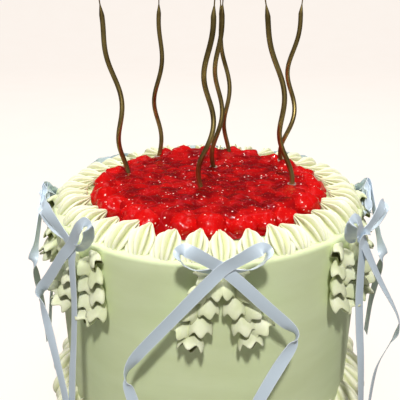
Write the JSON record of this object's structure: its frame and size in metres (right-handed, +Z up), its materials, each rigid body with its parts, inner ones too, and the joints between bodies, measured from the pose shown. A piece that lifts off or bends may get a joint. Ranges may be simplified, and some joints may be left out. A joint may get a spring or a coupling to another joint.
{
  "type": "birthday cake",
  "caption": "Tall round birthday cake in pale buttercream with piped shell borders, braided cream garlands under ribbon bows, a glazed strawberry top and wavy candles.",
  "frame": {"origin": "middle of the cake's flat underside, on the surface it stands on", "axes": "+Z up through the cake, -Y towards the viewer of the front bow, +X to the viewer's right"},
  "size_m": [0.2444, 0.2444, 0.2586],
  "materials": {
    "buttercream": "soft satin cream",
    "piped_cream": "soft satin cream",
    "strawberry_glaze": "wet, glossy",
    "satin_ribbon": "satin",
    "gold_candle": "metallic wax",
    "clear_cup": "clear, glossy"
  },
  "bodies": {
    "root": {"cake_body": "buttercream", "top_border": "piped_cream", "base_border": "piped_cream", "strawberry_topping": "strawberry_glaze", "candle_left": "gold_candle", "candle_back_left": "gold_candle", "candle_front": "gold_candle", "candle_centre": "gold_candle", "candle_back": "gold_candle", "candle_front_right": "gold_candle", "candle_back_right": "gold_candle", "holder_left": "clear_cup", "holder_back_left": "clear_cup", "holder_front": "clear_cup", "holder_centre": "clear_cup", "holder_back": "clear_cup", "holder_front_right": "clear_cup", "holder_back_right": "clear_cup", "bow_1": "satin_ribbon", "bow_2": "satin_ribbon", "bow_3": "satin_ribbon", "bow_4": "satin_ribbon", "bow_5": "satin_ribbon", "bow_6": "satin_ribbon", "bow_7": "satin_ribbon", "bow_8": "satin_ribbon", "garland_1_left": "piped_cream", "garland_1_right": "piped_cream", "garland_2_left": "piped_cream", "garland_2_right": "piped_cream", "garland_3_left": "piped_cream", "garland_3_right": "piped_cream", "garland_4_left": "piped_cream", "garland_4_right": "piped_cream", "garland_5_left": "piped_cream", "garland_5_right": "piped_cream", "garland_6_left": "piped_cream", "garland_6_right": "piped_cream", "garland_7_left": "piped_cream", "garland_7_right": "piped_cream", "garland_8_left": "piped_cream", "garland_8_right": "piped_cream"}
  },
  "joints": []
}
